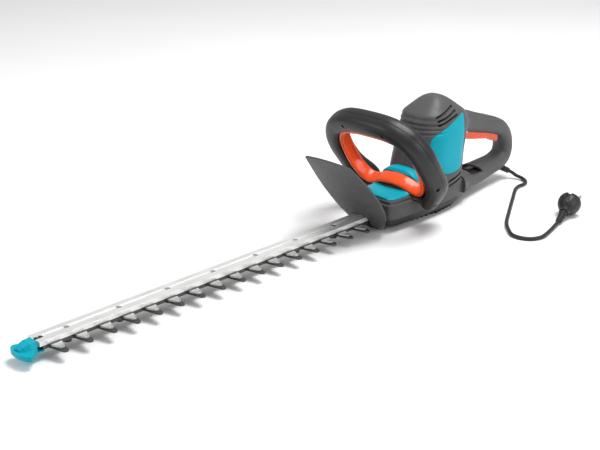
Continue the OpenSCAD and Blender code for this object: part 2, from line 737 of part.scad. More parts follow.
module on_motor() { place() translate([motor_x, 0, 0]) children(); }
module tube(z, h, r_out, r_in) {
    translate([0, 0, z]) difference() {
        cylinder(h = h, r = r_out, $fn = 64);
        translate([0, 0, -1]) cylinder(h = h + 2, r = r_in, $fn = 64);
    }
}
module stator_core() {
    on_motor() color(dark_steel) difference() {
        tube(74, 40, stator_r, armature_r + 0.5);
        for (s = [-1, 1])
            translate([0, s * coil_y, 94]) difference() {
                cube([18, 9, 60], center = true);
                cube([7.6, 10, 70], center = true);
            }
    }
}
// Distance from the motor axis to the middle of a field coil.
coil_y = 21.5;
module field_coils() {
    on_motor() color(copper) for (s = [-1, 1])
        translate([0, s * coil_y, 94]) difference() {
            cube([17.4, 8.4, 52], center = true);
            cube([8, 10, 41], center = true);
        }
}
module armature_core() {
    on_motor() color(steel) difference() {
        tube(75, 38, armature_r, 4.05);
        for (i = [0:11])
            rotate([0, 0, i * 30]) translate([armature_r, 0, 70]) cube([6, 1.8, 100], center = true);
    }
}
module armature_windings() {
    on_motor() color(copper) {
        tube(69, 5.8, 13, 4.05);
        tube(113.2, 5.6, 13, 4.05);
    }
}
module rotor_shaft() {
    on_motor() color(steel) {
        translate([0, 0, 30]) pinion(9.6);
        translate([0, 0, 39.6]) cylinder(h = 5, r = 3.2, $fn = 40);
        translate([0, 0, 44.6]) cylinder(h = 106, r = 4, $fn = 48);
    }
}
// Straight-sided teeth with play on both flanks.
module toothed(z, tip_r, root_r, tip_part, root_part) {
    a = 360 / z;
    polygon([for (i = [0:z - 1],
        q = [[root_r, -root_part], [tip_r, -tip_part], [tip_r, tip_part], [root_r, root_part]])
        let (t = a * i + a * q[1]) [q[0] * cos(t), q[0] * sin(t)]]);
}
module pinion(h) {
    linear_extrude(h) toothed(pinion_teeth, pinion_teeth / 2 + 0.75, pinion_teeth / 2 - 1.1, 0.07, 0.2);
}
module commutator() {
    on_motor() color(copper) difference() {
        tube(121, 13, 10.5, 4.05);
        for (i = [0:11])
            rotate([0, 0, i * 30 + 15]) translate([10.5, 0, 121]) cube([2, 0.8, 40], center = true);
    }
}
module cooling_fan() {
    on_motor() color(black) {
        tube(54, 12, 7, 4.1);
        tube(54, 1.8, fan_r, 6.9);
        for (i = [0:10])
            rotate([0, 0, i * 360 / 11]) translate([9, -0.7, 55.8]) cube([fan_r - 10, 1.4, 9]);
    }
}
module upper_bearing() { on_motor() color(steel) tube(142.8, 6, 9.5, 4.05); }
module lower_bearing() { on_motor() color(steel) tube(44.8, 7, 11, 4.05); }
bracket_z = 41.3;
module bearing_bracket() {
    place() color(aluminium) difference() {
        union() {
            translate([0, 0, bracket_z]) linear_extrude(5) bracket_outline();
            translate([motor_x, 0, bracket_z]) cylinder(h = 11, r = 14, $fn = 48);
            translate([gear_x, 0, bracket_z]) cylinder(h = 8, r = 8, $fn = 48);
        }
        translate([motor_x, 0, 44.8]) cylinder(h = 10, r = 11.05, $fn = 48);
        translate([motor_x, 0, 40]) cylinder(h = 10, r = 6, $fn = 48);
        translate([gear_x, 0, 40]) cylinder(h = 20, r = 4.05, $fn = 48);
    }
}
// The bracket lies on the ledge that the nose opening leaves inside the tower.
module bracket_outline() {
    intersection() {
        polygon([for (q = tower_ring(tower[0], -wall - 1.5)) [q[0], q[1]]]);
        translate([-204, -40]) square([90, 80]);
    }
}
module brush_holders() {
    on_motor() color(brass) for (s = [-1, 1])
        translate([0, s * 22.5, 127.5]) difference() {
            cube([9, 19, 9], center = true);
            cube([6.4, 20, 6.4], center = true);
        }
}
module carbon_brushes() {
    on_motor() color(black) for (s = [-1, 1])
        translate([0, s * 19.1, 127.5]) cube([6.2, 16, 6.2], center = true);
}
module suppressor() { place() color(brass) translate([-212, -8, 105.3]) cube([9, 16, 18.5]); }

// ---- gearbox -------------------------------------------------------------------------------

module on_gear() { place() translate([gear_x, 0, 0]) children(); }
module gear_plate() {
    place() color(aluminium) difference() {
        translate([-156, -34, gear_plate_z]) cube([102, 68, 4]);
        translate([gear_x, 0, 0]) cylinder(h = 60, r = 7.05, $fn = 48);
        for (x = rail_screw_xs)
            translate([x, 0, 0]) cylinder(h = 60, r = 2.1, $fn = 32);
    }
}
module gear_bush() { on_gear() color(brass) tube(gear_plate_z - 0.8, 6.6, 7, 4.05); }
module drive_gear() {
    on_gear() color(steel) difference() {
        rotate([0, 0, 180 / gear_teeth + 180]) union() {
            translate([0, 0, 31]) linear_extrude(7.6)
                toothed(gear_teeth, gear_teeth / 2 + 0.7, gear_teeth / 2 - 1.2, 0.11, 0.22);
            translate([0, 0, 30.4]) cylinder(h = 10.4, r = 9, $fn = 48);
        }
        translate([0, 0, 20]) cylinder(h = 40, r = 4, $fn = 48);
        for (i = [0:5])
            rotate([0, 0, i * 60 + 30]) translate([21, 0, 20]) cylinder(h = 40, r = 6, $fn = 32);
    }
}
module gear_shaft() {
    on_gear() color(steel) translate([0, 0, blade_z - 0.4])
        cylinder(h = 49 - blade_z, r = 4, $fn = 48);
}
module eccentric(z, s) {
    translate([0, 0, z]) difference() {
        translate([0, s * blade_travel, 0]) cylinder(h = blade_t - 0.1, r = 10.5, $fn = 48);
        translate([0, 0, -1]) cylinder(h = 8, r = 4, $fn = 48);
    }
}
module upper_eccentric() { on_gear() color(dark_steel) eccentric(upper_z, 1); }
module lower_eccentric() { on_gear() color(dark_steel) eccentric(blade_z, -1); }

// ---- lead and plug -------------------------------------------------------------------------

// The relief leaves the lower rear corner and points back, down and a little to the left.
relief_start = [-344, -3, 26.5];
relief_end = [-364, 17, 13];
relief_run = relief_end - relief_start;
relief_length = norm(relief_run);
module relief_place() {
    translate(relief_start)
        rotate([0, acos(relief_run[2] / relief_length), atan2(relief_run[1], relief_run[0])]) children();
}
module strain_relief() {
    place() color(black) relief_place() difference() {
        union() {
            cylinder(h = relief_length, r1 = 5.2, r2 = 3.9, $fn = 40);
            for (i = [0:4])
                translate([0, 0, 13 + i * 3.8]) cylinder(h = 2, r = 5.5 - 0.2 * i, $fn = 40);
        }
        translate([0, 0, -1]) cylinder(h = relief_length + 2, r = cord_d / 2 + 0.1, $fn = 40);
    }
}
// Lead inside the handle, through the relief to the clamp.
module inner_lead() {
    place() color(black) relief_place() translate([0, 0, -14])
        cylinder(h = relief_length - 3.2 + 14, r = cord_d / 2, $fn = 40);
}
module cord_clamp() {
    place() color(black) relief_place() difference() {
        translate([-4.6, -6, -9]) cube([9.2, 12, 8]);
        translate([0, 0, -10]) cylinder(h = 12, r = cord_d / 2 + 0.1, $fn = 40);
    }
}

// Middle line of the lead from the relief to the plug, resting on the ground.
cord_points = [relief_end - 3 * unit(relief_run), relief_end + 4 * unit(relief_run),
    [-370.2, 27.5, 6.2], [-370.4, 37.8, 4.2], [-366.2, 47, 3.2], [-358.4, 53.4, 2.9],
    [-348.6, 55.8, 2.9], [-338, 55.6, 2.9], [-326, 58.4, 2.9], [-312, 65, 2.9], [-275, 86, 2.9],
    [-233, 110, 2.9], [-189, 136, 2.9], [-165, 157, 2.9], [-154.6, 170, 2.9], [-153.2, 184, 2.9],
    [-159, 196, 2.9], [-169.8, 203, 2.9], [-183, 204, 2.9], [-208, 198.6, 3.1], [-238, 191, 4.6]];
cord_path = smooth(cord_points, 2);
function cord_frame(i) = let (a = cord_path[max(0, i - 1)],
    b = cord_path[min(len(cord_path) - 1, i + 1)], d = unit(b - a), u = unit(cross([0, 0, 1], d)))
    [u, cross(d, u)];
module cord() {
    place() color(black) loft([for (i = [0:len(cord_path) - 1]) let (f = cord_frame(i))
        [for (j = [0:9]) cord_path[i] + cord_d / 2 * (cos(36 * j) * f[0] + sin(36 * j) * f[1])]]);
}

// The plug lies on the rim of its head, its relief down towards the ground.
plug_end = cord_points[len(cord_points) - 1];
plug_turn = 195;
plug_rise = 14;
module on_plug() {
    place() translate(plug_end) rotate([0, 0, plug_turn]) rotate([0, 90 - plug_rise, 0]) children();
}
module plug_relief() {
    on_plug() color(black) difference() {
        union() {
            cylinder(h = 26, r1 = 3.6, r2 = 5.6, $fn = 40);
            for (i = [0:4])
                translate([0, 0, 3 + i * 4.4]) cylinder(h = 2.2, r = 4.6 + 0.4 * i, $fn = 40);
        }
        // Seat of the cord's end.
        translate([0, 0, -1]) cylinder(h = 1.8, r = cord_d / 2 + 0.15, $fn = 40);
    }
}
module plug_body() {
    on_plug() color(black) translate([0, 0, 26]) difference() {
        union() {
            cylinder(h = 8, r = 7.5, $fn = 48);
            translate([0, 0, 8]) rotate_extrude($fn = 64) polygon([[0, 0], [7.5, 0], [12, 4], [16, 12],
                [plug_d / 2, 16], [plug_d / 2, 24], [plug_d / 2 - 1, 25], [0, 25]]);
        }
        for (a = [0, 180])
            rotate([0, 0, a]) translate([16.4, 0, 33]) cube([6, 6, 40], center = true);
    }
}
module plug_pins() {
    on_plug() color(steel) for (s = [-1, 1])
        translate([0, s * 9.5, 26 + 33]) {
            cylinder(h = 17, r = 2.4, $fn = 32);
            translate([0, 0, 17]) cylinder(h = 2, r1 = 2.4, r2 = 1.2, $fn = 32);
        }
}

left_housing();
right_housing();
base_cover();
left_side_panel();
right_side_panel();
nose_cover();
neck_band();
hand_guard();
guard_screws();
bail_front_shell();
bail_rear_shell();
bail_screws();
front_switch_ring();
front_microswitch();
rear_trigger();
trigger_pin();
trigger_spring();
rear_microswitch();
grip_inlay();
cable_hook();
housing_screws();
base_screws();
strain_relief();
inner_lead();
cord_clamp();
cord();
plug_relief();
plug_body();
plug_pins();
guide_rail();
rail_screws();
upper_blade();
lower_blade();
blade_bolts();
blade_nuts();
tip_cap();
tip_cap_screws();
stator_core();
field_coils();
armature_core();
armature_windings();
rotor_shaft();
commutator();
cooling_fan();
upper_bearing();
lower_bearing();
bearing_bracket();
brush_holders();
carbon_brushes();
suppressor();
gear_plate();
gear_bush();
drive_gear();
gear_shaft();
upper_eccentric();
lower_eccentric();
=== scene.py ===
"""Looks of the hedge trimmer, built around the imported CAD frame.

Shapes are given in tool millimetres, X = 0 at the rearmost tooth, as in the CAD source, and
part_point() takes them to the part's own frame in metres.
"""

import json
import math

import bmesh
import bpy
import numpy as np
from mathutils import Matrix, Vector


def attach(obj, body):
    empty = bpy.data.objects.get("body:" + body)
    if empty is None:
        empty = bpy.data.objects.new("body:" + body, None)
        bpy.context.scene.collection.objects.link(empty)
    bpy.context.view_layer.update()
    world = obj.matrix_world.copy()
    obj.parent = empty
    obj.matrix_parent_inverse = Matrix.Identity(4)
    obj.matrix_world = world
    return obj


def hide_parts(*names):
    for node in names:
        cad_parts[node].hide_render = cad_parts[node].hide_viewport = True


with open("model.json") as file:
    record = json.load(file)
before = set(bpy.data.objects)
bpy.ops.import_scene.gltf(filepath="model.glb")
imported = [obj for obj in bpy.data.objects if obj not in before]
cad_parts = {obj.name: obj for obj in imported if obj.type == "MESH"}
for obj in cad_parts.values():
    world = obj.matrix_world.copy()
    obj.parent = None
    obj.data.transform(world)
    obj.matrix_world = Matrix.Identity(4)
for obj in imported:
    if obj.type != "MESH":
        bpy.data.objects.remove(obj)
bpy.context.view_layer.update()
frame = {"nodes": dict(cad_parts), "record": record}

MID_X = 89.0          # middle of the tool's length, where the part's frame has X = 0
GAP = 0.3             # clearance between neighbouring mouldings
WALL = 3.2            # housing wall


# ---- helpers: points, meshes, booleans -----------------------------------------------------

def part_point(p):
    return ((p[0] - MID_X) / 1000.0, p[1] / 1000.0, p[2] / 1000.0)


def unit(v):
    v = np.asarray(v, float)
    return v / np.linalg.norm(v)


def smooth(points, steps):
    """Catmull-Rom curve through points, with that many steps between neighbours."""
    p = np.asarray(points, float)
    out = []
    for i in range(len(p) - 1):
        a, b, c, d = p[max(0, i - 1)], p[i], p[i + 1], p[min(len(p) - 1, i + 2)]
        for j in range(steps):
            t = j / steps
            out.append(0.5 * (2 * b + (c - a) * t + (2 * a - 5 * b + 4 * c - d) * t * t
                              + (3 * b - a - 3 * c + d) * t ** 3))
    out.append(p[-1])
    return np.array(out)


def oval(a, b, n, m, groove=0.0):
    """Evenly spaced superellipse ring; groove cuts a fine V where the second axis is zero."""
    t = np.linspace(0, math.pi / 2, 400)
    x = a * np.cos(t) ** (2 / n)
    y = b * np.sin(t) ** (2 / n)
    run = np.concatenate([[0], np.cumsum(np.hypot(np.diff(x), np.diff(y)))])
    k = m // 4
    want = np.linspace(0, run[-1], k + 1)
    if groove:
        want = np.concatenate([[0, groove * 0.5], want[1:]])
    qx, qy = np.interp(want, run, x), np.interp(want, run, y)
    if groove:
        qx[0] -= groove
    quarter = list(zip(qx, qy))
    half = quarter + [(-u, v) for u, v in reversed(quarter[:-1])]
    return half + [(u, -v) for u, v in reversed(half[1:-1])]


def make(name, verts, faces, sharp=35):
    """Mesh object from tool millimetres."""
    mesh = bpy.data.meshes.new(name)
    mesh.from_pydata([part_point(v) for v in verts], [], faces)
    b = bmesh.new()
    b.from_mesh(mesh)
    bmesh.ops.recalc_face_normals(b, faces=b.faces)
    b.to_mesh(mesh)
    b.free()
    obj = bpy.data.objects.new(name, mesh)
    bpy.context.scene.collection.objects.link(obj)
    shade(obj, sharp)
    return obj


def shade(obj, sharp=35):
    obj.data.shade_smooth()
    obj.data.set_sharp_from_angle(angle=math.radians(sharp))


def loft(name, rings, closed=False, sharp=35):
    m, k = len(rings[0]), len(rings)
    faces = []
    for i in range(k if closed else k - 1):
        a, b = i * m, ((i + 1) % k) * m
        faces += [(a + j, a + (j + 1) % m, b + (j + 1) % m, b + j) for j in range(m)]
    if not closed:
        faces += [tuple(range(m - 1, -1, -1)), tuple((k - 1) * m + j for j in range(m))]
    return make(name, [p for r in rings for p in r], faces, sharp)


def prism(name, outline, axis, low, high, sharp=35):
    """Outline given in the two other axes, run from low to high along axis."""
    def point(q, h):
        return {"x": (h, q[0], q[1]), "y": (q[0], h, q[1]), "z": (q[0], q[1], h)}[axis]
    return loft(name, [[point(q, low) for q in outline], [point(q, high) for q in outline]],
                sharp=sharp)


def corners_of(low, high):
    return [(low[0], low[1]), (high[0], low[1]), (high[0], high[1]), (low[0], high[1])]


def block(name, low, high):
    return prism(name, corners_of(low, high), "z", low[2], high[2])


def round_bar(name, start, end, radius, m=24):
    start, end = np.array(start, float), np.array(end, float)
    d = unit(end - start)
    u = unit(np.cross(d, [0, 0, 1] if abs(d[2]) < 0.9 else [1, 0, 0]))
    w = np.cross(d, u)
    return loft(name, [[c + radius * (math.cos(t) * u + math.sin(t) * w)
                        for t in np.linspace(0, 2 * math.pi, m, endpoint=False)]
                       for c in (start, end)])


def settle(obj):
    """Applies the object's modifiers."""
    mesh = bpy.data.meshes.new_from_object(
        obj.evaluated_get(bpy.context.evaluated_depsgraph_get()))
    obj.modifiers.clear()
    obj.data = mesh
    return obj


def combine(obj, operation, *tools, keep=False):
    for tool in tools:
        m = obj.modifiers.new("combine", "BOOLEAN")
        m.operation = operation
        m.solver = "EXACT"
        m.object = tool
        settle(obj)
        if not keep:
            bpy.data.objects.remove(tool)
    return obj


def cut(obj, *tools, keep=False):
    return combine(obj, "DIFFERENCE", *tools, keep=keep)


def join(obj, *tools):
    return combine(obj, "UNION", *tools)


def meet(obj, *tools):
    return combine(obj, "INTERSECT", *tools)


def keep_side(obj, point, direction):
    """Cuts the object by a plane, keeps what lies along direction, and closes the cut."""
    b = bmesh.new()
    b.from_mesh(obj.data)
    done = bmesh.ops.bisect_plane(b, geom=b.verts[:] + b.edges[:] + b.faces[:], dist=1e-7,
                                  plane_co=part_point(point), plane_no=direction,
                                  clear_inner=True)
    rim = [e for e in done["geom_cut"] if isinstance(e, bmesh.types.BMEdge)]
    bmesh.ops.triangle_fill(b, edges=rim, use_beauty=True, normal=[-c for c in direction])
    bmesh.ops.recalc_face_normals(b, faces=b.faces)
    b.to_mesh(obj.data)
    b.free()
    return obj


def twin(obj, name):
    copy = bpy.data.objects.new(name, obj.data.copy())
    bpy.context.scene.collection.objects.link(copy)
    return copy


def bevel(obj, width):
    m = obj.modifiers.new("bevel", "BEVEL")
    m.width = width / 1000.0
    m.segments = 2
    m.limit_method = "ANGLE"
    m.angle_limit = math.radians(35)
    m.use_clamp_overlap = True
    settle(obj)
    shade(obj, 40)
    return obj


# ---- materials -----------------------------------------------------------------------------

MATERIALS = {}


class Nodes:
    """Short way to build one node material."""

    def __init__(self, name):
        self.mat = bpy.data.materials.new(name)
        self.mat.use_nodes = True
        self.tree = self.mat.node_tree
        self.shader = self.tree.nodes["Principled BSDF"]
        self.place = self.add("ShaderNodeTexCoord").outputs["Object"]
        MATERIALS[name] = self.mat

    def add(self, kind, **values):
        node = self.tree.nodes.new(kind)
        for key, value in values.items():
            if key in node.inputs:
                node.inputs[key].default_value = value
            else:
                setattr(node, key, value)
        return node

    def link(self, a, b):
        self.tree.links.new(a, b)

    def stretched(self, scale):
        m = self.add("ShaderNodeMapping")
        m.inputs["Scale"].default_value = scale
        self.link(self.place, m.inputs["Vector"])
        return m.outputs["Vector"]

    def noise(self, scale, detail=3.0, rough=0.55, where=None):
        n = self.add("ShaderNodeTexNoise", Scale=scale, Detail=detail, Roughness=rough)
        self.link(where or self.place, n.inputs["Vector"])
        return n.outputs["Fac"]

    def ranged(self, value, low, high, from_low=0.3, from_high=0.7):
        m = self.add("ShaderNodeMapRange")
        self.link(value, m.inputs["Value"])
        for key, number in (("From Min", from_low), ("From Max", from_high),
                            ("To Min", low), ("To Max", high)):
            m.inputs[key].default_value = number
        return m.outputs["Result"]

    def tint(self, value, dark, light):
        ramp = self.add("ShaderNodeValToRGB")
        ramp.color_ramp.elements[0].position = 0.3
        ramp.color_ramp.elements[0].color = (*dark, 1)
        ramp.color_ramp.elements[1].position = 0.7
        ramp.color_ramp.elements[1].color = (*light, 1)
        self.link(value, ramp.inputs["Fac"])
        return ramp.outputs["Color"]

    def bump(self, height, strength, depth, normal=None):
        b = self.add("ShaderNodeBump", Strength=strength, Distance=depth)
        self.link(height, b.inputs["Height"])
        if normal:
            self.link(normal, b.inputs["Normal"])
        return b.outputs["Normal"]

    def edge(self, radius):
        return self.add("ShaderNodeBevel", samples=4, Radius=radius).outputs["Normal"]

    def finish(self, colour, rough, normal, metal=0.0, specular=0.5, coat=0.0):
        s = self.shader
        self.link(colour, s.inputs["Base Color"])
        self.link(rough, s.inputs["Roughness"])
        self.link(normal, s.inputs["Normal"])
        s.inputs["Metallic"].default_value = metal
        s.inputs["Specular IOR Level"].default_value = specular
        s.inputs["Coat Weight"].default_value = coat
        s.inputs["Coat Roughness"].default_value = 0.1
        return self.mat


def shaded(colour, by):
    return tuple(min(1.0, c * by) for c in colour)


def plastic(name, colour, rough, grain, coat=0.0, specular=0.5):
    """Moulded plastic: fine spark-eroded grain, slow colour drift, uneven sheen."""
    n = Nodes(name)
    drift = n.noise(28, 2.0)
    colour_out = n.tint(drift, shaded(colour, 0.93), shaded(colour, 1.07))
    rough_out = n.ranged(n.noise(160, 3.0), rough - 0.05, rough + 0.06)
    normal = n.bump(n.noise(1500, 2.0), grain, 0.00012, n.edge(0.0005))
    normal = n.bump(n.noise(60, 1.0), 0.04, 0.0006, normal)
    return n.finish(colour_out, rough_out, normal, coat=coat, specular=specular)


def rubber(name, colour, rough):
    n = Nodes(name)
    colour_out = n.tint(n.noise(90, 4.0), shaded(colour, 0.8), shaded(colour, 1.25))
    rough_out = n.ranged(n.noise(400, 3.0), rough - 0.08, rough + 0.08)
    normal = n.bump(n.noise(900, 3.0), 0.3, 0.0002, n.edge(0.0004))
    return n.finish(colour_out, rough_out, normal, specular=0.4)


def metal(name, colour, rough, brush, strength, metallic=1.0):
    """Machined metal; brush is the noise scale along each axis, lowest along the brushing."""
    n = Nodes(name)
    line = n.noise(1.0, 4.0, 0.6, n.stretched(brush))
    colour_out = n.tint(line, shaded(colour, 0.88), shaded(colour, 1.06))
    smear = n.noise(35, 2.0)
    mixed = n.add("ShaderNodeMath", operation="ADD")
    n.link(line, mixed.inputs[0])
    n.link(smear, mixed.inputs[1])
    rough_out = n.ranged(mixed.outputs[0], rough - 0.07, rough + 0.09, 0.7, 1.3)
    normal = n.bump(line, strength, 0.00008, n.edge(0.0003))
    return n.finish(colour_out, rough_out, normal, metal=metallic)


def blade_with_painted_shade(name, dark, bright, low, high):
    """Blade with painted shade from the rail darkening its middle; its teeth are ground bright
    further than low to high from the middle.
    """
    n = Nodes(name)
    split = n.add("ShaderNodeSeparateXYZ")
    n.link(n.place, split.inputs[0])
    away = n.add("ShaderNodeMath", operation="ABSOLUTE")
    n.link(split.outputs["Y"], away.inputs[0])
    line = n.noise(1.0, 4.0, 0.6, n.stretched((900, 60, 900)))
    wavy = n.add("ShaderNodeMath", operation="MULTIPLY_ADD")
    n.link(n.noise(120, 2.0), wavy.inputs[0])
    wavy.inputs[1].default_value = 0.001
    n.link(away.outputs[0], wavy.inputs[2])
    # Mask: 0 where the painted shade lies along the middle, 1 on the bright teeth, with a noisy
    # edge.
    share = n.ranged(wavy.outputs[0], 0.0, 1.0, low, high)
    mix = n.add("ShaderNodeMix", data_type="RGBA")
    n.link(share, mix.inputs["Factor"])
    # The dark tint is the painted shade; the bright tint is the teeth's own steel.
    n.link(n.tint(line, shaded(dark, 0.8), shaded(dark, 1.2)), mix.inputs[6])
    n.link(n.tint(line, shaded(bright, 0.88), shaded(bright, 1.05)), mix.inputs[7])
    rough_out = n.ranged(line, 0.28, 0.40)
    normal = n.bump(line, 0.2, 0.00008, n.edge(0.0003))
    return n.finish(mix.outputs[2], rough_out, normal, metal=1.0)


# Dark grey of the blade bars: on the upper blade's body it is painted shade from the rail; the
# lower blade is this grey all over.
BLADE_DARK_GREY = (0.10, 0.10, 0.098)

plastic("housing_plastic", (0.082, 0.082, 0.083), 0.44, 0.22, specular=0.3)
plastic("dark_plastic", (0.020, 0.020, 0.021), 0.36, 0.16, specular=0.35)
plastic("guard_plastic", (0.072, 0.072, 0.074), 0.50, 0.30, specular=0.3)
plastic("accent_plastic", (0.0, 0.35, 0.45), 0.36, 0.10, specular=0.16)
plastic("switch_plastic", (0.84, 0.085, 0.012), 0.24, 0.06, coat=0.2, specular=0.3)
plastic("nylon", (0.026, 0.026, 0.028), 0.45, 0.30)
plastic("moulding_black", (0.012, 0.012, 0.013), 0.50, 0.30)
rubber("soft_grip", (0.105, 0.105, 0.107), 0.66)
rubber("cord_rubber", (0.016, 0.016, 0.017), 0.42)
metal("rail_aluminium", (0.90, 0.90, 0.89), 0.42, (14, 1600, 1600), 0.15, metallic=0.72)
metal("cast_aluminium", (0.58, 0.58, 0.58), 0.52, (260, 260, 260), 0.5)
# Upper blade: painted shade of the rail along its middle, bright teeth beyond.
blade_with_painted_shade("blade_steel", BLADE_DARK_GREY, (0.66, 0.65, 0.63), 0.0152, 0.0168)
metal("blade_dark", BLADE_DARK_GREY, 0.42, (24, 900, 900), 0.16)
metal("dark_steel", (0.085, 0.085, 0.09), 0.38, (120, 120, 120), 0.10)
metal("bright_steel", (0.66, 0.66, 0.67), 0.24, (300, 300, 300), 0.08)
metal("core_steel", (0.20, 0.20, 0.21), 0.42, (40, 40, 2600), 0.60)
metal("copper_wire", (0.62, 0.25, 0.10), 0.30, (60, 60, 1500), 0.60)
metal("brass_part", (0.72, 0.55, 0.25), 0.28, (200, 200, 200), 0.10)


def paint(obj, name):
    obj.data.materials.clear()
    obj.data.materials.append(MATERIALS[name])
    return obj


def piece(obj, look, body="tool", replaces=()):
    """Gives a finished piece its material and the body it moves with."""
    if look:
        paint(obj, look)
    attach(obj, body)
    if replaces:
        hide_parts(*replaces)
    return obj


# ---- camera, floor and light ---------------------------------------------------------------

CAMERA_AT = Vector((1.0994, 1.0569, 0.6239))
TURN, DOWN = math.radians(44.206), math.radians(20.973)   # its heading and its tilt
look = -Vector((math.cos(TURN) * math.cos(DOWN), math.sin(TURN) * math.cos(DOWN), math.sin(DOWN)))
camera = bpy.data.objects.new("camera", bpy.data.cameras.new("camera"))
camera.data.lens = 72.0
camera.data.sensor_width = 36.0
camera.location = CAMERA_AT
camera.rotation_mode = "QUATERNION"
camera.rotation_quaternion = look.to_track_quat("-Z", "Y")
bpy.context.scene.collection.objects.link(camera)
bpy.context.scene.camera = camera

FLOOR_HALF = 8000
floor = make("floor", [(x, y, 0) for x, y in corners_of((-FLOOR_HALF, -FLOOR_HALF),
                                                        (FLOOR_HALF, FLOOR_HALF))],
             [(0, 1, 2, 3)])
floor_look = Nodes("floor_paper")
floor_look.finish(floor_look.tint(floor_look.noise(3, 2.0), (0.90, 0.90, 0.90), (0.92, 0.92, 0.92)),
                  floor_look.ranged(floor_look.noise(20, 2.0), 0.75, 0.85),
                  floor_look.bump(floor_look.noise(500, 2.0), 0.03, 0.0005), specular=0.2)
floor.data.materials.append(floor_look.mat)

world = bpy.data.worlds.new("studio")
bpy.context.scene.world = world
world.use_nodes = True
sky = world.node_tree.nodes["Background"]
sky.inputs["Color"].default_value = (1.0, 1.0, 1.0, 1)
sky.inputs["Strength"].default_value = 0.5
bpy.context.scene.view_settings.view_transform = "Standard"


def lamp(name, place, aim, size, power):
    """Square soft light; places and size in metres, power in watts."""
    data = bpy.data.lights.new(name, "AREA")
    data.size = size
    data.energy = power
    obj = bpy.data.objects.new(name, data)
    obj.location = place
    obj.rotation_mode = "QUATERNION"
    obj.rotation_quaternion = (Vector(aim) - Vector(place)).to_track_quat("-Z", "Y")
    bpy.context.scene.collection.objects.link(obj)


lamp("key", (-0.6, 0.3, 2.2), (-0.15, 0.0, 0.05), 1.1, 46)
lamp("front", (2.0, -1.2, 1.5), (0.0, 0.0, 0.1), 1.0, 12)
lamp("side", (-0.8, 2.4, 1.3), (-0.3, 0.0, 0.1), 1.3, 16)


# ---- cord ----------------------------------------------------------------------------------

RELIEF_START = np.array([-344.0, -3.0, 26.5])
RELIEF_END = np.array([-364.0, 17.0, 13.0])
RELIEF_RUN = unit(RELIEF_END - RELIEF_START)
CORD_D = 5.6
ROUTE = [RELIEF_END - 3 * RELIEF_RUN, RELIEF_END + 4 * RELIEF_RUN] + [np.array(p) for p in (
    (-370.2, 27.5, 6.2), (-370.4, 37.8, 4.2), (-366.2, 47, 3.2), (-358.4, 53.4, 2.9),
    (-348.6, 55.8, 2.9), (-338, 55.6, 2.9), (-326, 58.4, 2.9), (-312, 65, 2.9), (-275, 86, 2.9),
    (-233, 110, 2.9), (-189, 136, 2.9), (-165, 157, 2.9), (-154.6, 170, 2.9), (-153.2, 184, 2.9),
    (-159, 196, 2.9), (-169.8, 203, 2.9), (-183, 204, 2.9), (-208, 198.6, 3.1), (-238, 191, 4.6))]

curve = bpy.data.curves.new("cord_line", "CURVE")
curve.dimensions = "3D"
curve.bevel_depth = CORD_D / 2000.0
curve.bevel_resolution = 6
curve.resolution_u = 10
curve.use_fill_caps = True
spline = curve.splines.new("BEZIER")
spline.bezier_points.add(len(ROUTE) - 1)
for i, p in enumerate(ROUTE):
    before, after = ROUTE[max(0, i - 1)], ROUTE[min(len(ROUTE) - 1, i + 1)]
    slope = (after - before) / 6
    knot = spline.bezier_points[i]
    knot.co = part_point(p)
    knot.handle_left = part_point(p - slope)
    knot.handle_right = part_point(p + slope)
cord = bpy.data.objects.new("mains_cord", curve)
bpy.context.scene.collection.objects.link(cord)
cord.data.materials.append(MATERIALS["cord_rubber"])

def turned(name, profile, place, m=64):
    """Solid of revolution about the local Z of place; profile is radius and height."""
    rings = [[place @ Vector((r * math.cos(t), r * math.sin(t), z))
              for t in np.linspace(0, 2 * math.pi, m, endpoint=False)] for r, z in profile]
    return loft(name, rings, sharp=30)


def ribbed(length, r_start, r_end, first, pitch, proud, wide, count=5):
    """Profile of a tapered relief with rounded rings."""
    profile = [(r_start, 0.0)]
    ring = ((0, 0), (0.15, 0.75), (0.5, 1), (wide - 0.5, 1), (wide - 0.15, 0.75), (wide, 0))
    for i in range(count):
        z = first + i * pitch
        for dz, up in ring:
            t = (z + dz) / length
            profile.append((r_start + (r_end - r_start) * t + proud * up, z + dz))
    profile.append((r_end, length - 0.6))
    profile.append((r_end - 0.5, length))
    return profile


# Plug, lying on the rim of its head, with an earth notch on either side.
PLUG_R, PLUG_RELIEF, PLUG_FACE = 17.0, 26.0, 59.0
NOTCH_R, NOTCH_HALF = 13.4, 3.0
plug_place = (Matrix.Translation(Vector(ROUTE[-1])) @ Matrix.Rotation(math.radians(195), 4, "Z")
              @ Matrix.Rotation(math.radians(76), 4, "Y"))
plug_relief = turned("plug_relief_ribs", ribbed(PLUG_RELIEF, 3.5, 5.3, 3, 4.4, 0.75, 2.2),
                     plug_place, 48)
plug_body = turned("plug_head", [
    (6.2, PLUG_RELIEF), (7.0, 26.3), (7.5, 27), (7.5, 33.4), (8.4, 34.6), (10.2, 36.2),
    (12.2, 38.8), (14.2, 42.4), (15.8, 46.0), (PLUG_R - 0.6, 49.4), (PLUG_R - 0.1, 50.6),
    (PLUG_R, 51.4), (PLUG_R, 56.6), (PLUG_R - 0.3, 57.6), (PLUG_R - 1.1, 58.6),
    (PLUG_R - 1.8, 58.95), (NOTCH_R, PLUG_FACE), (13.2, 58.4), (12.2, 58.4), (12.0, PLUG_FACE),
    (0.5, PLUG_FACE)], plug_place)
for turn in (0, math.pi):
    place = plug_place @ Matrix.Rotation(turn, 4, "Z")
    notch = corners_of((NOTCH_R, -NOTCH_HALF), (NOTCH_R + 6, NOTCH_HALF))
    cut(plug_body, loft("notch", [[place @ Vector((x, y, z)) for x, y in notch]
                                  for z in (39, 70)]))
shade(plug_body, 30)
piece(plug_relief, "cord_rubber", replaces=["plug_relief"])
piece(plug_body, "cord_rubber", replaces=["plug_body"])
piece(cord, None, replaces=["cord"])

